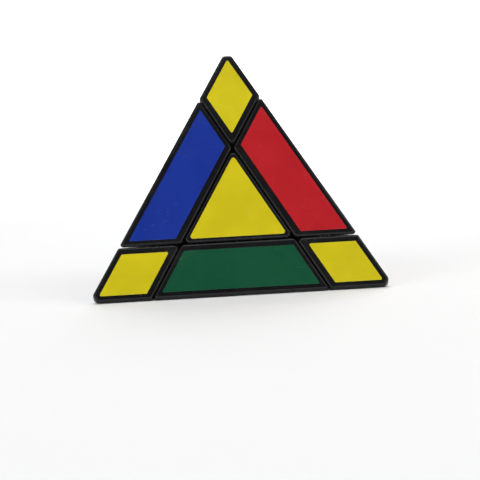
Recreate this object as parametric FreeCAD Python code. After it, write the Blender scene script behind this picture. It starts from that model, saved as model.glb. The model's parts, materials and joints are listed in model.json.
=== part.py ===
"""Pyramid twisty puzzle: 4 face centres, 6 edges and 4 corners that turn on a 4-armed core.

Heights are measured from the puzzle's middle along the outward normal of a face.  A flat cut runs
parallel to each face at CUT_HEIGHT.  Outside the ball of radius SHELL_RADIUS the cuts are these
planes, and they show on the faces.  Inside that ball they step down to planes through the middle,
so a corner has a foot that reaches under the edges beside it, an edge has a foot that reaches
under the centres beside it, and each centre is held by a screw and spring.  Planes and balls keep
their shape when turned about a face's normal, so each face layer turns freely.
"""
import FreeCAD, Part
import itertools
import math
import os
from FreeCAD import Vector

# Driving dimensions, in millimetres.
EDGE = 102.0             # sharp edge of the pyramid, before its ridges and tips are rounded
CUT_ALONG_EDGE = 21.1    # where a cut meets an edge of the pyramid, from its corner
GAP = 0.2                # space between two pieces that slide on each other
RIDGE_ROUND = 1.0        # rounding of the pyramid's own six ridges
TIP_BALL = 4.8           # radius of a ball that the facets of each blunt tip touch
TIP_BALL_DEPTH = 8.3     # its middle, from the sharp tip
SEAM_ROUND = 0.8         # rounding of a piece's edges where a cut meets a face
UPRIGHT_ROUND = 1.4      # rounding of a piece's edges where two cuts meet
WALL = 1.6               # wall of the hollow shells and of the centres
GLUE = 0.05              # space round a glued or snapped plug
SHELL_RADIUS = 18.0      # the ball in which the feet lie
FOOT_RADIUS = 11.0       # inner side of the feet
EDGE_SPLIT = 19.0        # where an edge's shell meets its foot, from the middle
CORNER_SPLIT = 26.0      # the same for a corner
PLUG_HEIGHT = 2.2        # how far a foot's plug stands up into its shell
PLUG_ROOT = 0.5          # how far it starts inside the foot
NECK_REACH = 1.0         # how far a foot's neck runs to each side of the ball of feet
EDGE_FOOT_ROUND = 11.6   # radius that blunts the four tips of an edge's foot
CORNER_FOOT_ROUND = 9.2  # radius that blunts the three tips of a corner's foot

STICKER = 0.15           # thickness of a sticker
STICKER_FROM_RIDGE = 2.5
STICKER_FROM_SEAM = 2.1
STICKER_ROUND = 0.8      # corner radius of a sticker

HUB_RADIUS = 6.5
ARM_RADIUS = 3.4
ARM_END = 9.0            # end of a core arm, from the middle
ARM_ROUND = 0.5
PILOT_DEPTH_END = 2.6    # end of a screw's pilot hole, from the middle
STEM_START = 9.1         # a centre's stem stands on the arm from here
SCREW_RADIUS = 1.2
SCREW_END = 3.0
SCREW_HEAD_RADIUS = 2.4
SCREW_HEAD_HEIGHT = 1.45
SCREW_HEAD_ROUND = 0.87
SCREW_POINT = 0.6        # chamfer of the shank's end
SCREW_SLOT = 0.55        # width of the cross recess
SCREW_SLOT_REACH = 1.44  # half its length
SCREW_SLOT_DEPTH = 0.8
SCREW_SPACE = 0.08       # round the shank in the core and in the centre
WELL_RADIUS = 2.95       # the well in a centre, for its spring and screw head
WELL_FLOOR = 11.5        # its floor, from the middle
BOSS_RADIUS = 4.2        # round the well, inside the hollow centre
SPRING_WIRE = 0.25       # radius of the wire
SPRING_RADIUS = 2.3      # middle of the wire
SPRING_TURNS = 5
SPRING_SPACE = 0.1
WASHER_RADIUS = 2.7
WASHER_BORE = 1.35
WASHER_START = 16.25
WASHER_THICK = 0.4
CAP_START = 18.7         # a centre's cap covers it from here up
CAP_PEG_START = 15.8
CAP_PEG_FROM_AXIS = 9.2
BODY_SKIN = 1.3          # a centre's wall over the ball of feet

# Worked out from the above.
TILT = math.acos(1 / 3)                       # angle between two faces of the pyramid
FACE_HEIGHT = EDGE / (2 * math.sqrt(6))       # from the middle to a face
CUT_HEIGHT = FACE_HEIGHT - CUT_ALONG_EDGE * math.sin(math.radians(60)) * math.sin(TILT)
MIDDLE_HEIGHT = FACE_HEIGHT + STICKER         # the puzzle stands on the stickers of its base
FAR = 90.0                                    # beyond every part of the puzzle
PAST = 1.0                                    # how far a cut runs past the face that it opens
HALF_GAP = GAP / 2
TIP_BALL_HEIGHT = 3 * FACE_HEIGHT - TIP_BALL_DEPTH
SHORT_EDGE = 0.5                              # an edge left over between two rounded ones is shorter
NEAR = 0.01                                   # an edge this close to a height lies on it

# The outward normal of each face.
FACES = {
    "front": Vector(0, -math.sin(TILT), 1 / 3),
    "right": Vector(math.sin(TILT) * math.cos(math.pi / 6), math.sin(TILT) / 2, 1 / 3),
    "left": Vector(-math.sin(TILT) * math.cos(math.pi / 6), math.sin(TILT) / 2, 1 / 3),
    "base": Vector(0, 0, -1),
}
# The faces that each piece is part of, by its name.
EDGES = {
    "front_left_edge": ("front", "left"),
    "front_right_edge": ("front", "right"),
    "back_edge": ("left", "right"),
    "front_base_edge": ("front", "base"),
    "left_base_edge": ("left", "base"),
    "right_base_edge": ("right", "base"),
}
CORNERS = {
    "top_corner": ("front", "left", "right"),
    "left_corner": ("front", "left", "base"),
    "right_corner": ("front", "right", "base"),
    "back_corner": ("left", "right", "base"),
}
# A direction that no cut plane holds, for the poles of the balls.
POLE = Vector(0.31, 0.47, 0.83)


def convex_solid(planes):
    """The solid that lies below every plane, each given as its outward normal and its height."""
    points = []
    for (a, p), (b, q), (c, r) in itertools.combinations(planes, 3):
        volume = a.dot(b.cross(c))
        if abs(volume) < 1e-9:
            continue
        point = (b.cross(c) * p + c.cross(a) * q + a.cross(b) * r) * (1 / volume)
        inside = all(point.dot(n) <= h + 1e-7 for n, h in planes)
        if inside and all(point.distanceToPoint(other) > 1e-6 for other in points):
            points.append(point)
    faces = []
    for normal, height in planes:
        rim = [point for point in points if abs(point.dot(normal) - height) < 1e-6]
        if len(rim) < 3:
            continue
        centre = sum(rim, Vector()) * (1 / len(rim))
        across = (rim[0] - centre).normalize()
        up = normal.cross(across)
        rim.sort(key=lambda point: math.atan2((point - centre).dot(up), (point - centre).dot(across)))
        faces.append(Part.Face(Part.makePolygon(rim + rim[:1])))
    return Part.Solid(Part.Shell(faces))


def ball(radius):
    """A ball about the puzzle's middle."""
    return Part.makeSphere(radius, Vector(), POLE)


def rod(radius, start, end, axis):
    """A cylinder along an axis through the middle, from one height to another."""
    return Part.makeCylinder(radius, end - start, axis * start, axis)


def piece_axis(piece):
    """The direction from the middle through a piece."""
    return sum((FACES[face] for face in piece), Vector()).normalize()


def tip_planes(piece, inset):
    """The facets that blunt a corner's tip: one square to its axis and one over each of its ridges."""
    axis = piece_axis(piece)
    pairs = itertools.combinations(piece, 2)
    ridges = [(FACES[one] + FACES[other]).normalize() for one, other in pairs]
    normals = [axis] + [(axis + ridge).normalize() for ridge in ridges]
    return [(normal, axis.dot(normal) * TIP_BALL_HEIGHT + TIP_BALL - inset) for normal in normals]


def outer_planes(piece, inset=0.0):
    """The planes that bound a piece outside the ball of feet, each moved in by inset."""
    planes = []
    for face, normal in FACES.items():
        if face in piece:
            planes.append((normal, FACE_HEIGHT - inset))
            planes.append((normal * -1, -(CUT_HEIGHT + HALF_GAP + inset)))
        else:
            planes.append((normal, CUT_HEIGHT - HALF_GAP - inset))
    return planes + (tip_planes(piece, inset) if len(piece) == 3 else [])


def inner_planes(piece):
    """The planes that bound a piece inside the ball of feet."""
    return [(normal * (-1 if face in piece else 1), -HALF_GAP) for face, normal in FACES.items()]


def edges_on(solid, piece, faces, cuts):
    """The straight edges of a piece's outer solid that lie on so many of its faces and of its cuts."""
    found = []
    for edge in solid.Edges:
        if edge.Length < SHORT_EDGE or not isinstance(edge.Curve, Part.Line):
            continue
        middle = edge.CenterOfMass
        on_faces, on_cuts = 0, 0
        for face, normal in FACES.items():
            height = middle.dot(normal)
            on_faces += abs(height - FACE_HEIGHT) < 1e-5
            on_cuts += abs(height - CUT_HEIGHT - (HALF_GAP if face in piece else -HALF_GAP)) < 1e-5
        if (on_faces, on_cuts) == (faces, cuts):
            found.append(edge)
    return found


def rounded(solid, piece):
    """A piece's outer solid with its ridges and its edges along the cuts rounded."""
    ridges_and_tip = [edge for faces in (2, 1, 0) for edge in edges_on(solid, piece, faces, 0)]
    if ridges_and_tip:
        solid = solid.makeFillet(RIDGE_ROUND, ridges_and_tip)
    solid = solid.makeFillet(UPRIGHT_ROUND, edges_on(solid, piece, 0, 2))
    return solid.makeFillet(SEAM_ROUND, edges_on(solid, piece, 1, 1))


def foot(piece, split, outer, blunt):
    """A piece's inner half: its foot in the ball, its neck and the plug that its shell is glued over."""
    axis = piece_axis(piece)
    inner = convex_solid(inner_planes(piece) + [(axis, FAR)])
    in_ball = inner.common(ball(SHELL_RADIUS - HALF_GAP)).cut(ball(FOOT_RADIUS))
    in_ball = in_ball.common(rod(blunt, 0, FAR, axis))
    below_split = rod(FAR, 0, split, axis)
    over_ball = outer.common(below_split).cut(ball(SHELL_RADIUS + HALF_GAP))
    neck = outer.common(inner).common(below_split)
    neck = neck.common(ball(SHELL_RADIUS + NECK_REACH)).cut(ball(SHELL_RADIUS - NECK_REACH))
    plug = convex_solid(
        outer_planes(piece, WALL + GLUE) + [(axis * -1, PLUG_ROOT - split), (axis, split + PLUG_HEIGHT)]
    )
    plug = plug.cut(ball(SHELL_RADIUS + HALF_GAP))
    return in_ball.fuse([neck, over_ball, plug]).removeSplitter()


def shell(piece, split, outer):
    """A piece's outer half: a hollow shell, open towards the core where its foot closes it."""
    axis = piece_axis(piece)
    hollow = convex_solid(outer_planes(piece, WALL) + [(axis * -1, PAST - split)])
    return outer.common(rod(FAR, split + GLUE, FAR, axis)).cut(hollow)


def centre_hollow(face, inset):
    """The hollow of a centre, over the ball of feet and round its boss, moved in by inset."""
    axis = FACES[face]
    sides = [(FACES[other], CUT_HEIGHT - HALF_GAP - WALL - inset) for other in FACES if other != face]
    block = convex_solid(sides + [(axis * -1, -CUT_HEIGHT), (axis, CAP_START + PAST)])
    block = block.cut(ball(SHELL_RADIUS + HALF_GAP + BODY_SKIN + inset))
    return block.cut(rod(BOSS_RADIUS + inset, 0, FAR, axis))


def centre_body(face):
    """A centre's hollow body, with the stem that its screw holds and the well for its spring."""
    axis = FACES[face]
    outer = rounded(convex_solid(outer_planes((face,))), (face,)).common(rod(FAR, 0, CAP_START, axis))
    stem = convex_solid(inner_planes((face,)) + [(axis * -1, -STEM_START), (axis, CAP_START)])
    stem_in_ball = stem.common(ball(SHELL_RADIUS + NECK_REACH))
    body = outer.cut(ball(SHELL_RADIUS + HALF_GAP)).fuse(stem_in_ball)
    body = body.cut(centre_hollow(face, 0.0))
    body = body.cut(rod(WELL_RADIUS, WELL_FLOOR, FAR, axis))
    return body.cut(rod(SCREW_RADIUS + SCREW_SPACE, 0, FAR, axis)).removeSplitter()


def centre_cap(face):
    """The cap that closes a centre, with three pegs that snap into the hollow's corners."""
    axis = FACES[face]
    outer = rounded(convex_solid(outer_planes((face,))), (face,))
    plate = outer.common(rod(FAR, CAP_START + GLUE, FAR, axis))
    pegs = centre_hollow(face, GLUE).common(rod(FAR, CAP_PEG_START, CAP_START + 2 * GLUE, axis))
    return plate.fuse(pegs.cut(rod(CAP_PEG_FROM_AXIS, 0, FAR, axis))).removeSplitter()


def sticker(piece, face):
    """A sticker with round corners, on one face of a piece."""
    up = FACES[face]
    planes = [(up, FACE_HEIGHT + STICKER), (up * -1, -FACE_HEIGHT)]

    def side(other, height, inwards, margin):
        """A plane square to the face, a margin in from where the face is at a height of another."""
        flat = (FACES[other] - up * up.dot(FACES[other])).normalize()
        at = (height + FACE_HEIGHT / 3) / math.sin(TILT)
        planes.append((flat * inwards, at * inwards - margin))

    for other in FACES:
        if other == face:
            continue
        if other in piece:
            side(other, FACE_HEIGHT, 1, STICKER_FROM_RIDGE)
            side(other, CUT_HEIGHT, -1, STICKER_FROM_SEAM)
        else:
            side(other, CUT_HEIGHT, 1, STICKER_FROM_SEAM)
    plate = convex_solid(planes)
    upright = [edge for edge in plate.Edges if edge.Length < 2 * STICKER]
    return plate.makeFillet(STICKER_ROUND, upright)


def core():
    """The core: a hub with four arms, each with a pilot hole for a screw."""
    arms = []
    for axis in FACES.values():
        arm = rod(ARM_RADIUS, 0, ARM_END, axis)
        end = [edge for edge in arm.Edges if edge.CenterOfMass.dot(axis) > ARM_END - NEAR]
        arms.append(arm.makeFillet(ARM_ROUND, end))
    solid = ball(HUB_RADIUS).fuse(arms).removeSplitter()
    for axis in FACES.values():
        solid = solid.cut(rod(SCREW_RADIUS + SCREW_SPACE, PILOT_DEPTH_END, FAR, axis))
    return solid


def screw(axis):
    """A pan-head screw with a cross recess, down the axis of a centre."""
    seat = WASHER_START + WASHER_THICK
    head = rod(SCREW_HEAD_RADIUS, seat, seat + SCREW_HEAD_HEIGHT, axis)
    top = [edge for edge in head.Edges if edge.CenterOfMass.dot(axis) > seat + SCREW_HEAD_HEIGHT - NEAR]
    head = head.makeFillet(SCREW_HEAD_ROUND, top)
    shank = rod(SCREW_RADIUS, SCREW_END, seat, axis)
    point = [edge for edge in shank.Edges if edge.CenterOfMass.dot(axis) < SCREW_END + NEAR]
    solid = head.fuse(shank.makeChamfer(SCREW_POINT, point))
    across = axis.cross(POLE).normalize()
    for along in (across, axis.cross(across)):
        side = axis.cross(along)
        slot = convex_solid(
            [
                (along, SCREW_SLOT_REACH),
                (along * -1, SCREW_SLOT_REACH),
                (side, SCREW_SLOT / 2),
                (side * -1, SCREW_SLOT / 2),
                (axis, FAR),
                (axis * -1, -(seat + SCREW_HEAD_HEIGHT - SCREW_SLOT_DEPTH)),
            ]
        )
        solid = solid.cut(slot)
    return solid


def washer(axis):
    """A flat washer between a screw's head and its spring."""
    disc = rod(WASHER_RADIUS, WASHER_START, WASHER_START + WASHER_THICK, axis)
    return disc.cut(rod(WASHER_BORE, 0, FAR, axis))


def spring(axis):
    """A coil spring that presses a centre onto the core."""
    start = WELL_FLOOR + SPRING_SPACE + SPRING_WIRE
    end = WASHER_START - SPRING_SPACE - SPRING_WIRE
    pitch = (end - start) / SPRING_TURNS
    coil = Part.makeHelix(pitch, end - start, SPRING_RADIUS)
    section = Part.Wire(Part.makeCircle(SPRING_WIRE, Vector(SPRING_RADIUS, 0, 0), Vector(0, 1, 0)))
    wire = coil.makePipeShell([section], True, True)
    wire.Placement = FreeCAD.Placement(axis * start, FreeCAD.Rotation(Vector(0, 0, 1), axis))
    return wire


def save(name, solids):
    """Writes one node, with the puzzle's middle raised so that it stands on its base."""
    shape = Part.makeCompound(solids) if len(solids) > 1 else solids[0]
    shape = shape.copy()
    shape.translate(Vector(0, 0, MIDDLE_HEIGHT))
    for solid in shape.Solids:
        if not solid.isValid() or solid.Volume <= 0:
            raise ValueError(name + " is not a sound solid")
    if len(shape.Solids) != len(solids):
        raise ValueError(name + " has %d solids" % len(shape.Solids))
    shape.exportStep("parts/" + name + ".step")
    print("%-34s %9.1f mm3" % (name, shape.Volume))


def main():
    """Builds every piece and writes it to parts."""
    os.makedirs("parts", exist_ok=True)
    save("core", [core()])
    save("screws", [screw(axis) for axis in FACES.values()])
    save("washers", [washer(axis) for axis in FACES.values()])
    save("springs", [spring(axis) for axis in FACES.values()])
    for face in FACES:
        save(face + "_centre_body", [centre_body(face)])
        save(face + "_centre_cap", [centre_cap(face)])
        save(face + "_centre_sticker", [sticker((face,), face)])
    edges = (EDGES, EDGE_SPLIT, EDGE_FOOT_ROUND)
    corners = (CORNERS, CORNER_SPLIT, CORNER_FOOT_ROUND)
    for pieces, split, blunt in (edges, corners):
        for name, piece in pieces.items():
            outer = rounded(convex_solid(outer_planes(piece)), piece)
            save(name + "_shell", [shell(piece, split, outer)])
            save(name + "_foot", [foot(piece, split, outer, blunt)])
            for face in piece:
                save(name + "_sticker_" + face, [sticker(piece, face)])


main()
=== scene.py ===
"""A pyramid twisty puzzle on a pale studio floor.

The black mouldings and the steel hardware keep their CAD shapes and are dressed here.  The stickers are
replaced by finer surfaces.  Lengths are in metres unless a name says millimetres.
"""
import json
import logging
import math
from dataclasses import dataclass, field
from enum import Enum

import bpy
import numpy as np
from mathutils import Matrix, Vector


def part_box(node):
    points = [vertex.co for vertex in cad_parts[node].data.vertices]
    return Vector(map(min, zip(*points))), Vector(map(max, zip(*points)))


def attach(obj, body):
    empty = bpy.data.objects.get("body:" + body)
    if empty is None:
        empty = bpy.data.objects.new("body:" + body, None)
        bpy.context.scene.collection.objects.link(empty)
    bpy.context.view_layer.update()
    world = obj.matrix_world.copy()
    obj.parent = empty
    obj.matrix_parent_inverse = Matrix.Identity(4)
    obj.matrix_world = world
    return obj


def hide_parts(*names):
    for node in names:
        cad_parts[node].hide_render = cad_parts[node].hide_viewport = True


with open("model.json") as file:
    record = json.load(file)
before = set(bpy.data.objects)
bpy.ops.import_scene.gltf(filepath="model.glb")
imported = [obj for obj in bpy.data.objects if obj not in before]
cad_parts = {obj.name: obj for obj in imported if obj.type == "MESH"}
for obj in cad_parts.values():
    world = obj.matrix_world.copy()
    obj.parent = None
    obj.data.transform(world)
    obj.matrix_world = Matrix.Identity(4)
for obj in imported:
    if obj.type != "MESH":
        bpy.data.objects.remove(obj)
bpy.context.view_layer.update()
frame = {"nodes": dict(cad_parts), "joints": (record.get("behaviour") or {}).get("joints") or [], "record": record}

LOG = logging.getLogger("puzzle")
MM = 0.001


class Face(Enum):
    """The four faces of the pyramid; the value is the name that pieces and joints use."""

    FRONT = "front"
    RIGHT = "right"
    LEFT = "left"
    BASE = "base"


class Colour(Enum):
    """The sticker colours; the value is the start of the material slot's name."""

    YELLOW = "yellow"
    BLUE = "blue"
    RED = "red"
    GREEN = "green"


# ------------------------------------------------------------------------------------ geometry helpers


def unit(vector: np.ndarray) -> np.ndarray:
    """Returns the vector, or each row of vectors, at length one."""
    return vector / np.linalg.norm(vector, axis=-1, keepdims=True)


@dataclass(frozen=True)
class Pyramid:
    """The pyramid's middle and the outward normals of its faces, read from the joints of the frame."""

    middle: np.ndarray
    normals: dict[Face, np.ndarray]
    sticker: float
    cut: float

    @classmethod
    def from_frame(cls) -> "Pyramid":
        """Reads the pyramid from the frame.

        Returns:
            The pyramid, with the thickness of its stickers and the height of its cuts above the middle.
        """
        turns = {joint["name"]: joint for joint in frame["joints"]}
        joints = {face: turns[face.value + "_turn"] for face in Face}
        middle = np.array(joints[Face.BASE]["pos_m"], float)
        normals = {face: unit(np.array(joint["axis"], float)) for face, joint in joints.items()}
        low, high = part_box("base_centre_sticker")
        under_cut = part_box("front_base_edge_shell")[1].z
        over_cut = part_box("front_left_edge_shell")[0].z
        return cls(middle, normals, high.z - low.z, float(middle[2]) - (under_cut + over_cut) / 2)

    @property
    def face_height(self) -> float:
        """The height of a face above the middle, under its stickers."""
        return float(self.middle[2]) - self.sticker

    def flat(self, face: Face, other: Face) -> np.ndarray:
        """Returns the direction in a face that points squarely at the ridge it shares with another face."""
        up = self.normals[face]
        return unit(self.normals[other] - up * (self.normals[other] @ up))


def new_mesh(name: str, points: np.ndarray, quads: np.ndarray, triangles: np.ndarray) -> bpy.types.Object:
    """Makes a smooth-shaded mesh object from arrays.

    Args:
        name: the object's name.
        points: the vertices, one row each.
        quads: four vertex numbers a row.
        triangles: three vertex numbers a row.

    Returns:
        The object, linked to the scene, at the origin.
    """
    mesh = bpy.data.meshes.new(name)
    mesh.from_pydata(points.tolist(), [], quads.tolist() + triangles.tolist())
    mesh.polygons.foreach_set("use_smooth", np.ones(len(mesh.polygons), bool))
    mesh.update()
    piece = bpy.data.objects.new(name, mesh)
    bpy.context.scene.collection.objects.link(piece)
    return piece


def closed_rings(rings: np.ndarray) -> tuple[np.ndarray, np.ndarray, np.ndarray]:
    """Joins rings of points into a closed skin, with a pole at each end.

    The first and last rings each stand for one point, their mean.  The others give their points in order.

    Args:
        rings: points, as ring by column by xyz.

    Returns:
        The vertices, the quads between rings and the triangles at the two poles.
    """
    count, columns = rings.shape[:2]
    inner = rings[1:-1].reshape(-1, 3)
    points = np.vstack([inner, rings[0].mean(0), rings[-1].mean(0)])
    row = np.arange(count - 3)[:, None] * columns
    here, there = np.arange(columns), (np.arange(columns) + 1) % columns
    above = row + columns
    quads = np.stack([row + here, row + there, above + there, above + here], -1).reshape(-1, 4)
    last = (count - 3) * columns
    first_pole, last_pole = len(inner), len(inner) + 1
    start = np.stack([np.full(columns, first_pole), there, here], -1)
    end = np.stack([np.full(columns, last_pole), last + here, last + there], -1)
    return points, quads, np.vstack([start, end])


def rounded_outline(corners: np.ndarray, radius: float, arc_steps: int, run_steps: int) -> np.ndarray:
    """The outline of a convex polygon with round corners, as points in order.

    At each corner an arc touches both sides.  Its points are the arc's centre plus the radius times the
    direction that turns evenly from one side's outward normal to the next.

    Args:
        corners: the sharp corners, anticlockwise, one xy row each.
        radius: the radius of the round corners.
        arc_steps: spans on each arc.
        run_steps: spans on each straight side.

    Returns:
        The points, anticlockwise, one xy row each.
    """
    sides = unit(np.roll(corners, -1, 0) - corners)
    outward = np.stack([sides[:, 1], -sides[:, 0]], -1)
    before = np.roll(outward, 1, 0)
    start = np.arctan2(before[:, 1], before[:, 0])
    sweep = (np.arctan2(outward[:, 1], outward[:, 0]) - start) % math.tau
    centre = corners - (before + outward) / (1 + (before * outward).sum(1, keepdims=True)) * radius
    angle = start[:, None] + sweep[:, None] * np.linspace(0, 1, arc_steps + 1)
    arcs = centre[:, None] + radius * np.stack([np.cos(angle), np.sin(angle)], -1)
    share = np.linspace(0, 1, run_steps + 1)[None, 1:-1, None]
    runs = arcs[:, -1:] * (1 - share) + np.roll(arcs, -1, 0)[:, :1] * share
    return np.concatenate([arcs, runs], 1).reshape(-1, 2)


# -------------------------------------------------------------------------------------- shader helpers


class Nodes:
    """A small hand for wiring one node tree."""

    def __init__(self, tree: bpy.types.NodeTree) -> None:
        """Keeps the tree that nodes are added to."""
        self.tree = tree

    def add(self, kind: str, values: dict[str | int, object] | None = None,
            **settings: object) -> bpy.types.Node:
        """Adds a node.

        Args:
            kind: the node's type, without the leading "ShaderNode".
            values: what each input socket gets, a plain value or another node's output socket.
            settings: the node's own properties.

        Returns:
            The new node.
        """
        node = self.tree.nodes.new("ShaderNode" + kind)
        for name, value in settings.items():
            setattr(node, name, value)
        for socket, value in (values or {}).items():
            self.put(node.inputs[socket], value)
        return node

    def put(self, socket: bpy.types.NodeSocket, value: object) -> None:
        """Links a socket to another node's output, or sets its value."""
        if isinstance(value, bpy.types.NodeSocket):
            self.tree.links.new(value, socket)
        else:
            socket.default_value = value

    def math(self, operation: str, *values: object, clamp: bool = False) -> bpy.types.NodeSocket:
        """Returns the result of a Math node on up to three values."""
        node = self.add("Math", dict(enumerate(values)), operation=operation, use_clamp=clamp)
        return node.outputs[0]

    def vector(self, operation: str, *values: object) -> bpy.types.NodeSocket:
        """Returns the result of a Vector Math node; a dot product or length comes as a value."""
        node = self.add("VectorMath", dict(enumerate(values)), operation=operation)
        return node.outputs["Value" if operation in ("DOT_PRODUCT", "LENGTH", "DISTANCE") else "Vector"]

    def ramp(self, value: object, low: float, high: float, to_low: float = 0.0,
             to_high: float = 1.0) -> bpy.types.NodeSocket:
        """Returns the value carried smoothly and clamped from one range to another."""
        values = {0: value, 1: low, 2: high, 3: to_low, 4: to_high}
        return self.add("MapRange", values, interpolation_type="SMOOTHSTEP").outputs[0]

    def mix(self, share: object, first: object, second: object) -> bpy.types.NodeSocket:
        """Returns a blend of two colours."""
        node = self.add("Mix", {0: share, 6: first, 7: second}, data_type="RGBA")
        return node.outputs[2]

    def noise(self, position: object, scale: float, detail: float = 3.0,
              roughness: float = 0.55) -> bpy.types.NodeSocket:
        """Returns fractal noise about one half, at a scale in features per metre."""
        values = {"Vector": position, "Scale": scale, "Detail": detail, "Roughness": roughness}
        return self.add("TexNoise", values).outputs["Fac"]


class Effect:
    """A shared effect: a node group that gives masks and heights, built once and placed in many materials."""

    name = ""
    inputs: dict[str, float] = {}
    outputs: tuple[str, ...] = ()

    def __init__(self) -> None:
        """Builds the group, with float sockets, and its inside."""
        self.group = bpy.data.node_groups.new(self.name, "ShaderNodeTree")
        for label, value in self.inputs.items():
            socket = self.group.interface.new_socket(label, in_out="INPUT", socket_type="NodeSocketFloat")
            socket.default_value = value
        for label in self.outputs:
            self.group.interface.new_socket(label, in_out="OUTPUT", socket_type="NodeSocketFloat")
        tools = Nodes(self.group)
        given = self.group.nodes.new("NodeGroupInput")
        made = self.build(tools, {label: given.outputs[label] for label in self.inputs})
        result = self.group.nodes.new("NodeGroupOutput")
        for label, socket in made.items():
            tools.put(result.inputs[label], socket)

    def build(self, tools: Nodes, given: dict[str, bpy.types.NodeSocket]) -> dict[str, bpy.types.NodeSocket]:
        """Wires the inside of the group and returns the socket behind each output."""
        raise NotImplementedError

    def place(self, tools: Nodes, **values: object) -> dict[str, bpy.types.NodeSocket]:
        """Places the group in a material.

        Args:
            tools: the material's hand.
            values: what each input gets; an underscore in a name stands for a space.

        Returns:
            The group's outputs by name.
        """
        node = tools.add("Group", node_tree=self.group)
        for label, value in values.items():
            tools.put(node.inputs[label.replace("_", " ")], value)
        return {label: node.outputs[label] for label in self.outputs}


class CutSense(Effect):
    """How deep a point lies under the nearest face, how near a cut, and how near a ridge, in millimetres."""

    name = "cut_sense"
    outputs = ("Depth", "Cut", "Ridge")

    def __init__(self, pyramid: Pyramid) -> None:
        """Keeps the pyramid that the heights are measured in."""
        self.pyramid = pyramid
        super().__init__()

    def build(self, tools: Nodes, given: dict[str, bpy.types.NodeSocket]) -> dict[str, bpy.types.NodeSocket]:
        """Measures the height above the middle along each face's normal, then takes the extremes.

        Args:
            tools: the group's hand.
            given: the group's inputs by name; not used here.

        Returns:
            The socket behind each output.
        """
        position = tools.add("TexCoord").outputs["Object"]
        local = tools.vector("SUBTRACT", position, tuple(self.pyramid.middle))
        heights = [tools.vector("DOT_PRODUCT", local, tuple(n)) for n in self.pyramid.normals.values()]
        a, b, c, d = heights
        high_ab, low_ab = tools.math("MAXIMUM", a, b), tools.math("MINIMUM", a, b)
        high_cd, low_cd = tools.math("MAXIMUM", c, d), tools.math("MINIMUM", c, d)
        top = tools.math("MAXIMUM", high_ab, high_cd)
        runners_up = tools.math("MINIMUM", high_ab, high_cd), tools.math("MAXIMUM", low_ab, low_cd)
        second = tools.math("MAXIMUM", *runners_up)
        gaps = [tools.math("ABSOLUTE", tools.math("SUBTRACT", h, self.pyramid.cut)) for h in heights]
        cut = tools.math("MINIMUM", tools.math("MINIMUM", *gaps[:2]), tools.math("MINIMUM", *gaps[2:]))
        face = self.pyramid.face_height
        return {
            "Depth": tools.math("MULTIPLY", tools.math("SUBTRACT", face, top), 1 / MM),
            "Cut": tools.math("MULTIPLY", cut, 1 / MM),
            "Ridge": tools.math("MULTIPLY", tools.math("SUBTRACT", face, second), 1 / MM),
        }


class Moulding(Effect):
    """The skin of a moulded part: fine spark-eroded grain over slow waves, and a mask of flow shade."""

    name = "moulding"
    inputs = {"Grain per mm": 5.0}
    outputs = ("Height", "Shade")

    def build(self, tools: Nodes, given: dict[str, bpy.types.NodeSocket]) -> dict[str, bpy.types.NodeSocket]:
        """Adds a fine noise to a slow one; the shade is a third, slower noise.

        Args:
            tools: the group's hand.
            given: the group's inputs by name.

        Returns:
            The socket behind each output.
        """
        position = tools.add("TexCoord").outputs["Object"]
        scale = tools.math("MULTIPLY", given["Grain per mm"], 1 / MM)
        grain = tools.add("TexNoise", {"Vector": position, "Scale": scale, "Detail": 2.0}).outputs["Fac"]
        waves = tools.noise(position, 260.0, 2.0)
        shade = tools.noise(position, 55.0, 4.0, 0.6)
        return {"Height": tools.math("MULTIPLY_ADD", waves, 1.6, grain), "Shade": tools.ramp(shade, 0.3, 0.7)}


class Scratches(Effect):
    """Sparse fine scratches in two directions, broken up into short lengths."""

    name = "scratches"
    outputs = ("Mask",)
    DIRECTIONS = (
        ((0.4, 0.9, 0.2), (60.0, 1900.0, 1500.0)),
        ((1.2, -0.5, 1.9), (2100.0, 70.0, 1700.0)),
    )

    def build(self, tools: Nodes, given: dict[str, bpy.types.NodeSocket]) -> dict[str, bpy.types.NodeSocket]:
        """Stretches noise along two slanted directions and keeps only its thin crests.

        Args:
            tools: the group's hand.
            given: the group's inputs by name; not used here.

        Returns:
            The socket behind each output.
        """
        position = tools.add("TexCoord").outputs["Object"]
        crests = []
        for turn, squeeze in self.DIRECTIONS:
            turned = tools.add("Mapping", {"Vector": position, "Rotation": turn, "Scale": squeeze}).outputs[0]
            line = tools.noise(turned, 1.0, 1.0)
            away = tools.math("ABSOLUTE", tools.math("SUBTRACT", line, 0.5))
            crest = tools.ramp(away, 0.0, 0.018, 1.0, 0.0)
            patch = tools.ramp(tools.noise(tools.vector("ADD", position, turn), 190.0, 2.0), 0.54, 0.66)
            crests.append(tools.math("MULTIPLY", crest, patch))
        return {"Mask": tools.math("MAXIMUM", *crests)}


class Smears(Effect):
    """Finger smears: large soft patches that change the gloss, with a finer breakup inside."""

    name = "smears"
    outputs = ("Mask",)

    def build(self, tools: Nodes, given: dict[str, bpy.types.NodeSocket]) -> dict[str, bpy.types.NodeSocket]:
        """Multiplies a slow noise by a finer one.

        Args:
            tools: the group's hand.
            given: the group's inputs by name; not used here.

        Returns:
            The socket behind each output.
        """
        position = tools.add("TexCoord").outputs["Object"]
        patch = tools.ramp(tools.noise(position, 75.0, 2.0), 0.45, 0.65)
        fine = tools.ramp(tools.noise(position, 700.0, 3.0), 0.35, 0.7, 0.5, 1.0)
        return {"Mask": tools.math("MULTIPLY", patch, fine)}


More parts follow.
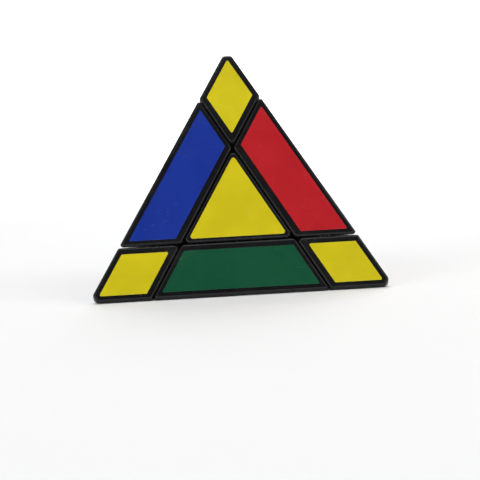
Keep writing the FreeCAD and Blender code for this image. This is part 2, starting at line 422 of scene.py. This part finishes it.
class Dust(Effect):
    """Single dust specks, and a film that gathers in the grooves."""

    name = "dust"
    inputs = {"Groove": 0.0, "Specks": 0.5}
    outputs = ("Mask",)

    def build(self, tools: Nodes, given: dict[str, bpy.types.NodeSocket]) -> dict[str, bpy.types.NodeSocket]:
        """Keeps the middles of a few random cells, and adds the groove mask broken up by noise.

        Args:
            tools: the group's hand.
            given: the group's inputs by name.

        Returns:
            The socket behind each output.
        """
        position = tools.add("TexCoord").outputs["Object"]
        cells = tools.add("TexVoronoi", {"Vector": position, "Scale": 650.0})
        speck = tools.ramp(cells.outputs["Distance"], 0.05, 0.11, 1.0, 0.0)
        draw = tools.add("SeparateColor", {0: cells.outputs["Color"]}).outputs[0]
        chosen = tools.math("GREATER_THAN", draw, 0.93)
        specks = tools.math("MULTIPLY", tools.math("MULTIPLY", speck, chosen), given["Specks"])
        film = tools.ramp(tools.noise(position, 420.0, 4.0, 0.7), 0.35, 0.75)
        film = tools.math("MULTIPLY", film, given["Groove"])
        return {"Mask": tools.math("MAXIMUM", specks, film, clamp=True)}


class SlideMarks(Effect):
    """Fine arcs about a face's axis, polished into the cuts by turning that layer."""

    name = "slide_marks"
    outputs = ("Mask",)

    def __init__(self, pyramid: Pyramid) -> None:
        """Keeps the pyramid whose axes the arcs run round."""
        self.pyramid = pyramid
        super().__init__()

    def build(self, tools: Nodes, given: dict[str, bpy.types.NodeSocket]) -> dict[str, bpy.types.NodeSocket]:
        """For each axis, noise on the distance from it, shown only where the surface is square to it.

        Args:
            tools: the group's hand.
            given: the group's inputs by name; not used here.

        Returns:
            The socket behind each output.
        """
        coordinates = tools.add("TexCoord")
        local = tools.vector("SUBTRACT", coordinates.outputs["Object"], tuple(self.pyramid.middle))
        total: object = 0.0
        for normal in self.pyramid.normals.values():
            along = tools.vector("DOT_PRODUCT", local, tuple(normal))
            length = tools.vector("LENGTH", local)
            sides = [tools.math("MULTIPLY", side, side) for side in (length, along)]
            radius = tools.math("SQRT", tools.math("MAXIMUM", tools.math("SUBTRACT", *sides), 0.0))
            values = {"W": radius, "Scale": 4200.0, "Detail": 4.0}
            rings = tools.add("TexNoise", values, noise_dimensions="1D")
            square = tools.vector("DOT_PRODUCT", coordinates.outputs["Normal"], tuple(normal))
            facing = tools.ramp(tools.math("ABSOLUTE", square), 0.985, 0.998)
            crest = tools.math("MULTIPLY", tools.ramp(rings.outputs["Fac"], 0.5, 0.68), facing)
            total = tools.math("MAXIMUM", total, crest)
        return {"Mask": total}


@dataclass
class Effects:
    """The shared effects, each built once."""

    pyramid: Pyramid
    sense: CutSense = field(init=False)
    moulding: Moulding = field(init=False)
    scratches: Scratches = field(init=False)
    smears: Smears = field(init=False)
    dust: Dust = field(init=False)
    slides: SlideMarks = field(init=False)

    def __post_init__(self) -> None:
        """Builds every node group."""
        self.sense = CutSense(self.pyramid)
        self.moulding = Moulding()
        self.scratches = Scratches()
        self.smears = Smears()
        self.dust = Dust()
        self.slides = SlideMarks(self.pyramid)


Rgb = tuple[float, float, float]


def rgba(colour: Rgb) -> tuple[float, float, float, float]:
    """Returns the colour with full alpha."""
    return (*colour, 1.0)


def empty_material(name: str) -> tuple[bpy.types.Material, Nodes, bpy.types.Node]:
    """Makes a material with only a Principled shader and its output.

    Args:
        name: the material's name.

    Returns:
        The material, a hand on its tree, and the Principled shader.
    """
    material = bpy.data.materials.new(name)
    material.use_nodes = True
    material.node_tree.nodes.clear()
    tools = Nodes(material.node_tree)
    shader = tools.add("BsdfPrincipled")
    tools.add("OutputMaterial", {"Surface": shader.outputs[0]})
    return material, tools, shader


@dataclass(frozen=True)
class BlackPlastic:
    """Moulded black plastic, rubbed brighter along its rims, with dust in its grooves."""

    name: str
    colour: Rgb
    roughness: float
    grain: float
    wear: float
    dust: float
    slide: float

    RUBBED = (0.040, 0.040, 0.042)
    SCORED = (0.050, 0.050, 0.052)
    DUSTY = (0.160, 0.155, 0.145)

    def make(self, effects: Effects) -> bpy.types.Material:
        """Builds the material from the shared effects.

        Args:
            effects: the shared effects.

        Returns:
            The material.
        """
        material, tools, shader = empty_material(self.name)
        sense = effects.sense.place(tools)
        skin = effects.moulding.place(tools)
        scratch = effects.scratches.place(tools)["Mask"]
        smear = effects.smears.place(tools)["Mask"]
        slide = tools.math("MULTIPLY", effects.slides.place(tools)["Mask"], self.slide)
        position = tools.add("TexCoord").outputs["Object"]
        breakup = tools.ramp(tools.noise(position, 380.0, 4.0, 0.7), 0.38, 0.72)

        near_top = tools.ramp(sense["Depth"], 0.03, 0.75, 1.0, 0.0)
        rim = tools.math("MULTIPLY", tools.ramp(sense["Cut"], 0.35, 1.0, 1.0, 0.0), near_top)
        ridge = tools.ramp(sense["Ridge"], 0.75, 1.6, 1.0, 0.0)
        rubbed = tools.math("MULTIPLY", tools.math("MAXIMUM", rim, ridge), breakup)
        rubbed = tools.math("MULTIPLY", rubbed, self.wear)
        in_cut = tools.ramp(sense["Cut"], 0.3, 0.9, 1.0, 0.0)
        deep = tools.math("MULTIPLY", tools.ramp(sense["Depth"], 0.4, 1.2), in_cut)
        groove = tools.math("MULTIPLY", deep, self.dust)
        dust = effects.dust.place(tools, Groove=groove, Specks=self.dust)["Mask"]

        shade = tools.mix(skin["Shade"], rgba(self.colour), rgba(tuple(c * 1.2 for c in self.colour)))
        worn = tools.mix(rubbed, shade, rgba(self.RUBBED))
        scored = tools.mix(tools.math("MULTIPLY", scratch, 0.18), worn, rgba(self.SCORED))
        dusty = tools.mix(tools.math("MULTIPLY", dust, 0.20), scored, rgba(self.DUSTY))
        tools.put(shader.inputs["Base Color"], dusty)

        rough = tools.math("MULTIPLY_ADD", skin["Shade"], 0.06, self.roughness)
        rough = tools.math("MULTIPLY_ADD", smear, 0.10, rough)
        rough = tools.math("MULTIPLY_ADD", rubbed, -0.12, rough)
        rough = tools.math("MULTIPLY_ADD", slide, -0.16, rough)
        rough = tools.math("MULTIPLY_ADD", dust, 0.35, rough, clamp=True)
        tools.put(shader.inputs["Roughness"], rough)

        height = tools.math("MULTIPLY_ADD", scratch, -2.0, skin["Height"])
        height = tools.math("MULTIPLY_ADD", slide, -1.5, height)
        bump = tools.add("Bump", {"Height": height, "Strength": 1.0, "Distance": self.grain * MM})
        tools.put(shader.inputs["Normal"], bump.outputs[0])
        shader.inputs["Specular IOR Level"].default_value = 0.26
        return material


@dataclass(frozen=True)
class Vinyl:
    """A printed vinyl sticker under a clear film, a little worn and grubby along its cut rim."""

    colour: Colour
    face: Rgb
    rim: Rgb
    roughness: float = 0.22

    SCORED = (0.75, 0.75, 0.72)
    DUSTY = (0.45, 0.44, 0.40)

    def make(self, effects: Effects) -> bpy.types.Material:
        """Builds the material from the shared effects; the rim follows the mesh's own attribute.

        Args:
            effects: the shared effects.

        Returns:
            The material.
        """
        material, tools, shader = empty_material(self.colour.value + "_vinyl")
        position = tools.add("TexCoord").outputs["Object"]
        rim = tools.add("Attribute", attribute_name=StickerSheet.RIM).outputs["Fac"]
        scratch = effects.scratches.place(tools)["Mask"]
        smear = effects.smears.place(tools)["Mask"]
        dust = effects.dust.place(tools, Specks=0.4)["Mask"]
        peel = tools.noise(position, 900.0, 2.0, 0.5)
        slow = tools.noise(position, 90.0, 3.0, 0.5)

        deeper = rgba(tuple(c * 0.90 for c in self.face))
        tone = tools.mix(tools.ramp(slow, 0.3, 0.7), deeper, rgba(self.face))
        tears = tools.ramp(tools.noise(position, 1500.0), 0.4, 0.65)
        ragged = tools.math("MULTIPLY", tools.ramp(rim, 0.55, 1.0), tears)
        edged = tools.mix(tools.math("MULTIPLY", ragged, 0.45), tone, rgba(self.rim))
        scored = tools.mix(tools.math("MULTIPLY", scratch, 0.02), edged, rgba(self.SCORED))
        dusty = tools.mix(tools.math("MULTIPLY", dust, 0.30), scored, rgba(self.DUSTY))
        tools.put(shader.inputs["Base Color"], dusty)

        rough = tools.math("MULTIPLY_ADD", smear, 0.05, self.roughness)
        rough = tools.math("MULTIPLY_ADD", scratch, 0.05, rough)
        rough = tools.math("MULTIPLY_ADD", dust, 0.3, rough, clamp=True)
        tools.put(shader.inputs["Roughness"], rough)

        height = tools.math("MULTIPLY_ADD", slow, 3.0, peel)
        height = tools.math("MULTIPLY_ADD", scratch, -0.12, height)
        bump = tools.add("Bump", {"Height": height, "Strength": 1.0, "Distance": 0.012 * MM})
        tools.put(shader.inputs["Normal"], bump.outputs[0])
        shader.inputs["Specular IOR Level"].default_value = 0.40
        shader.inputs["Coat Weight"].default_value = 0.10
        shader.inputs["Coat Roughness"].default_value = 0.12
        return material


@dataclass(frozen=True)
class PlatedSteel:
    """Small steel hardware, zinc plated or bright drawn."""

    name: str
    colour: Rgb
    roughness: float

    def make(self, effects: Effects) -> bpy.types.Material:
        """Builds the material: metal, with fine tool marks and duller spots.

        Args:
            effects: the shared effects.

        Returns:
            The material.
        """
        material, tools, shader = empty_material(self.name)
        position = tools.add("TexCoord").outputs["Object"]
        scratch = effects.scratches.place(tools)["Mask"]
        spots = tools.ramp(tools.noise(position, 1400.0, 4.0, 0.7), 0.4, 0.7)
        dull = rgba(tuple(c * 0.72 for c in self.colour))
        tools.put(shader.inputs["Base Color"], tools.mix(spots, rgba(self.colour), dull))
        rough = tools.math("MULTIPLY_ADD", spots, 0.18, self.roughness)
        tools.put(shader.inputs["Roughness"], tools.math("MULTIPLY_ADD", scratch, 0.2, rough, clamp=True))
        shader.inputs["Metallic"].default_value = 1.0
        bump = tools.add("Bump", {"Height": tools.noise(position, 2600.0), "Distance": 0.01 * MM})
        tools.put(shader.inputs["Normal"], bump.outputs[0])
        return material


# ---------------------------------------------------------------------------------- the puzzle's parts


@dataclass
class StickerSheet:
    """The die-cut stickers.  Each takes its outline from its CAD plate and lies a hair off true.

    CUTS gives, for each kind of piece, the radius of its stickers' corners and how far their sides stay
    inside the plate's.  OFF_TRUE gives how far a crookedly laid sticker lies towards the right face.
    """

    pyramid: Pyramid
    shortest_side: float = 2.0 * MM
    flatness: float = 0.001 * MM
    rim_round: float = 0.04 * MM
    rim_band: float = 0.4 * MM
    shift: float = 0.05 * MM
    twist: float = math.radians(0.12)
    arc_steps: int = 7
    run_steps: int = 10

    RIM = "rim"
    OFF_TRUE = {"front_right_edge_sticker_front": 0.30 * MM}
    CUTS = {
        "centre": (0.80 * MM, -0.32 * MM),
        "corner": (0.45 * MM, 0.05 * MM),
        "edge": (0.30 * MM, 0.08 * MM),
    }

    def outline(self, node: str, face: Face, radius: float, spare: float) -> tuple[np.ndarray, np.ndarray]:
        """Reads a sticker's outline from its CAD plate.

        Each side runs square to the direction of a neighbouring face, at the plate's furthest reach that way.

        Args:
            node: the CAD plate.
            face: the face it lies on.
            radius: the radius of the round corners.
            spare: how far each side stays inside the plate's own.

        Returns:
            The outline in the face's own two directions, and those directions with the face's normal as rows.
        """
        points = np.empty(len(frame["nodes"][node].data.vertices) * 3)
        frame["nodes"][node].data.vertices.foreach_get("co", points)
        points = points.reshape(-1, 3)
        up = self.pyramid.normals[face]
        across = self.pyramid.flat(face, next(other for other in Face if other != face))
        axes = np.stack([across, np.cross(up, across), up])
        local = (points - self.pyramid.middle) @ axes.T
        directions, reaches = [], []
        for other in (other for other in Face if other != face):
            way = (axes @ self.pyramid.flat(face, other))[:2]
            for sign in (1, -1):
                reach = (local[:, :2] @ (way * sign)).max()
                on_side = local[:, :2][local[:, :2] @ (way * sign) > reach - self.flatness]
                if np.ptp(on_side @ np.array([-way[1], way[0]])) > self.shortest_side:
                    directions.append(way * sign)
                    reaches.append(reach - spare)
        order = np.argsort([math.atan2(d[1], d[0]) for d in directions])
        directions, reaches = np.array(directions)[order], np.array(reaches)[order]
        corners = [np.linalg.solve(directions[[i - 1, i]], reaches[[i - 1, i]]) for i in range(len(order))]
        return rounded_outline(np.array(corners), radius, self.arc_steps, self.run_steps), axes

    def build(self, node: str, face: Face, seed: int) -> bpy.types.Object:
        """Makes one sticker as rings from the middle of its underside round the rim to the middle of its top.

        Args:
            node: the CAD plate that it stands for.
            face: the face it lies on.
            seed: picks its small shift and twist.

        Returns:
            The sticker, which replaces its plate.
        """
        radius, spare = next(cut for kind, cut in self.CUTS.items() if kind in node)
        outline, axes = self.outline(node, face, radius, spare)
        chance = np.random.default_rng(seed)
        shift, twist = chance.uniform(-self.shift, self.shift, 2), chance.uniform(-self.twist, self.twist)
        if node in self.OFF_TRUE:
            shift += (axes @ self.pyramid.flat(face, Face.RIGHT))[:2] * self.OFF_TRUE[node]
        centre = outline.mean(0)
        turn = np.array([[math.cos(twist), -math.sin(twist)], [math.sin(twist), math.cos(twist)]])
        outline = (outline - centre) @ turn.T
        reach = np.linalg.norm(outline, axis=1, keepdims=True)
        thick = self.pyramid.sticker
        quarter = np.linspace(0, math.pi / 2, 4)
        inset = np.concatenate([[1.0, 0.5], [0, 0], self.rim_round * (1 - np.cos(quarter)) / reach.mean()])
        rise = thick - self.rim_round * (1 - np.sin(quarter))
        height = np.concatenate([[0, 0], [0, thick - self.rim_round], rise])
        band = self.rim_band / reach.mean()
        inset = np.concatenate([inset, [band * 0.4, band, 0.25, 0.5, 0.75, 1.0]])
        height = np.concatenate([height, np.full(6, thick)])
        flat = outline[None] * (1 - inset)[:, None, None] + centre + shift
        rings = np.concatenate([flat, np.broadcast_to(height[:, None, None], (*flat.shape[:2], 1))], -1)
        rings[..., 2] += self.pyramid.face_height
        points, quads, triangles = closed_rings(rings @ axes + self.pyramid.middle)
        piece = new_mesh(node + "_vinyl", points, quads, triangles)
        rim = np.interp(inset, [0, band], [1.0, 0.0])[1:-1]
        values = np.concatenate([np.repeat(rim, outline.shape[0]), [0.0, 0.0]]).astype(np.float32)
        piece.data.attributes.new(self.RIM, "FLOAT", "POINT").data.foreach_set("value", values)
        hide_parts(node)
        return piece


@dataclass(frozen=True)
class Softbox:
    """A soft square light that faces the puzzle.

    Its azimuth is in degrees round from the front towards the right, its elevation in degrees above the
    floor, its distance from the puzzle's middle, its size the side of the square, its power in watts.
    """

    name: str
    azimuth: float
    elevation: float
    distance: float
    size: float
    power: float

    def add(self, middle: np.ndarray) -> None:
        """Adds the light to the scene, about the puzzle's middle.

        Args:
            middle: the puzzle's middle.
        """
        data = bpy.data.lights.new(self.name, "AREA")
        data.shape, data.size, data.energy = "SQUARE", self.size, self.power
        light = bpy.data.objects.new(self.name, data)
        bpy.context.scene.collection.objects.link(light)
        a, e = math.radians(self.azimuth), math.radians(self.elevation)
        way = Vector((math.sin(a) * math.cos(e), -math.cos(a) * math.cos(e), math.sin(e)))
        turn = way.to_track_quat("Z", "Y").to_matrix().to_4x4()
        light.matrix_world = Matrix.Translation(Vector(middle) + way * self.distance) @ turn


@dataclass
class Studio:
    """The camera, the pale floor that rises into a bowl all round, and the soft lights."""

    pyramid: Pyramid
    lens_mm: float = 75.0
    sensor_mm: float = 36.0
    azimuth: float = math.radians(-0.98)
    elevation: float = math.radians(5.79)
    roll: float = math.radians(-3.22)
    distance: float = 0.3545
    aim: tuple[float, float, float] = (0.00097, 0.0, 0.01547)
    flat_radius: float = 0.9
    wall_radius: float = 0.45
    columns: int = 96
    flat_rings: int = 10
    climb_rings: int = 15
    pale: Rgb = (0.92, 0.92, 0.92)
    glow: float = 0.70
    room: Rgb = (0.92, 0.96, 1.0)
    room_strength: float = 0.03

    SOFTBOXES = (
        Softbox("top_softbox", -20.0, 80.0, 1.3, 1.2, 10.2),
        Softbox("left_softbox", -62.0, 30.0, 0.9, 0.5, 1.4),
        Softbox("right_softbox", 66.0, 35.0, 0.9, 0.5, 1.6),
        Softbox("back_softbox", 170.0, 45.0, 1.0, 0.6, 4.0),
    )

    def camera(self) -> None:
        """Places the camera on its arc about the aim point, tipped by its roll."""
        data = bpy.data.cameras.new("camera")
        data.lens, data.sensor_width = self.lens_mm, self.sensor_mm
        camera = bpy.data.objects.new("camera", data)
        bpy.context.scene.collection.objects.link(camera)
        a, e = self.azimuth, self.elevation
        back = Vector((math.sin(a) * math.cos(e), -math.cos(a) * math.cos(e), math.sin(e)))
        right = Vector((math.cos(a), math.sin(a), 0.0))
        up = back.cross(right)
        tipped_right = right * math.cos(self.roll) + up * math.sin(self.roll)
        tipped_up = up * math.cos(self.roll) - right * math.sin(self.roll)
        turn = Matrix((tipped_right, tipped_up, back)).transposed().to_4x4()
        camera.matrix_world = Matrix.Translation(Vector(self.aim) + back * self.distance) @ turn
        data.clip_start, data.clip_end = 0.01, 20.0
        bpy.context.scene.camera = camera

    def floor(self) -> None:
        """Builds the floor: rings that lie flat, then climb a quarter circle into a bowl."""
        columns = self.columns
        flat = np.linspace(0.02, self.flat_radius, self.flat_rings)
        climb = np.linspace(0, math.pi / 2, self.climb_rings + 1)[1:]
        radius = np.concatenate([flat, self.flat_radius + self.wall_radius * np.sin(climb)])
        height = np.concatenate([np.zeros(self.flat_rings), self.wall_radius * (1 - np.cos(climb))])
        angle = np.linspace(0, math.tau, columns, endpoint=False)
        ring = np.stack([np.cos(angle), np.sin(angle)], -1)
        heights = np.broadcast_to(height[:, None, None], (len(height), columns, 1))
        grid = np.concatenate([radius[:, None, None] * ring, heights], -1).reshape(-1, 3)
        row = np.arange(len(height) - 1)[:, None] * columns
        here, there = np.arange(columns), (np.arange(columns) + 1) % columns
        beyond = row + columns
        quads = np.stack([row + here, beyond + here, beyond + there, row + there], -1).reshape(-1, 4)
        middle = len(grid)
        points = np.vstack([grid, [[0.0, 0.0, 0.0]]])
        triangles = np.stack([np.full(columns, middle), here, there], -1)
        floor = new_mesh("floor", points, quads, triangles)
        material, tools, shader = empty_material("pale_sweep")
        position = tools.add("TexCoord").outputs["Object"]
        away = tools.ramp(tools.vector("LENGTH", position), 0.35, 1.1)
        darker = rgba(tuple(c * 0.99 for c in self.pale))
        shade = tools.mix(tools.noise(position, 40.0), darker, rgba(self.pale))
        tools.put(shader.inputs["Base Color"], shade)
        shader.inputs["Roughness"].default_value = 0.9
        shader.inputs["Specular IOR Level"].default_value = 0.2
        shader.inputs["Emission Color"].default_value = (1.0, 1.0, 1.0, 1.0)
        tools.put(shader.inputs["Emission Strength"], tools.math("MULTIPLY", away, self.glow))
        floor.data.materials.append(material)

    def world(self) -> None:
        """Fills the room with an even, faint light."""
        world = bpy.data.worlds.new("room")
        world.use_nodes = True
        background = world.node_tree.nodes["Background"]
        background.inputs["Color"].default_value = rgba(self.room)
        background.inputs["Strength"].default_value = self.room_strength
        bpy.context.scene.world = world

    def build(self) -> None:
        """Sets the whole studio up."""
        self.camera()
        self.floor()
        self.world()
        for softbox in self.SOFTBOXES:
            softbox.add(self.pyramid.middle)
        bpy.context.scene.view_settings.view_transform = "Standard"


@dataclass
class Puzzle:
    """The whole puzzle: finishes for the mouldings, and the pieces that stand for plain CAD ones."""

    pyramid: Pyramid
    effects: Effects

    SHELL = BlackPlastic("shell_plastic", (0.0066, 0.0066, 0.0074), 0.17, 0.003, 0.10, 0.12, 0.3)
    INNER = BlackPlastic("inner_plastic", (0.0120, 0.0120, 0.0130), 0.42, 0.016, 0.35, 0.8, 1.0)
    CORE = BlackPlastic("core_plastic", (0.0300, 0.0300, 0.0330), 0.45, 0.018, 0.3, 0.5, 0.4)
    VINYLS = (
        Vinyl(Colour.YELLOW, (0.640, 0.540, 0.010), (0.72, 0.66, 0.12)),
        Vinyl(Colour.BLUE, (0.010, 0.034, 0.300), (0.04, 0.08, 0.36)),
        Vinyl(Colour.RED, (0.470, 0.014, 0.020), (0.55, 0.06, 0.06)),
        Vinyl(Colour.GREEN, (0.006, 0.080, 0.036), (0.03, 0.13, 0.08)),
    )
    STEELS = (
        PlatedSteel("screw_steel", (0.60, 0.60, 0.61), 0.28),
        PlatedSteel("washer_steel", (0.64, 0.64, 0.64), 0.24),
        PlatedSteel("spring_steel", (0.55, 0.55, 0.56), 0.22),
    )

    def materials(self) -> dict[str, bpy.types.Material]:
        """Builds one material for each slot of the record.

        Returns:
            The materials by slot.
        """
        made = {"black_plastic": self.SHELL, "inner_plastic": self.INNER, "core_plastic": self.CORE}
        finishes = {slot: finish.make(self.effects) for slot, finish in made.items()}
        finishes.update({steel.name: steel.make(self.effects) for steel in self.STEELS})
        finishes.update({vinyl.colour.value + "_sticker": vinyl.make(self.effects) for vinyl in self.VINYLS})
        return finishes

    def build(self) -> None:
        """Dresses every CAD piece and adds the stickers."""
        finishes = self.materials()
        slots = {entry["node"]: entry["material_slot"] for entry in frame["record"]["subparts"]}
        groups = frame["record"]["behaviour"]["bodies"]
        bodies = {node: body for body, nodes in groups.items() for node in nodes}
        stickers = StickerSheet(self.pyramid)
        for number, (node, slot) in enumerate(sorted(slots.items())):
            if slot.endswith("_sticker"):
                words = node.split("_")
                on_face = Face(words[0] if "centre" in words else words[-1])
                piece = stickers.build(node, on_face, number)
                piece.data.materials.append(finishes[slot])
                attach(piece, bodies[node])
            else:
                piece = frame["nodes"][node]
                piece.data.materials.clear()
                piece.data.materials.append(finishes[slot])
            LOG.info("%s: %d faces, %s", piece.name, len(piece.data.polygons), slot)


def main() -> None:
    """Builds the studio and the puzzle."""
    logging.basicConfig(level=logging.INFO, format="%(name)s %(message)s")
    pyramid = Pyramid.from_frame()
    Studio(pyramid).build()
    Puzzle(pyramid, Effects(pyramid)).build()


if __name__ == "__main__":
    main()
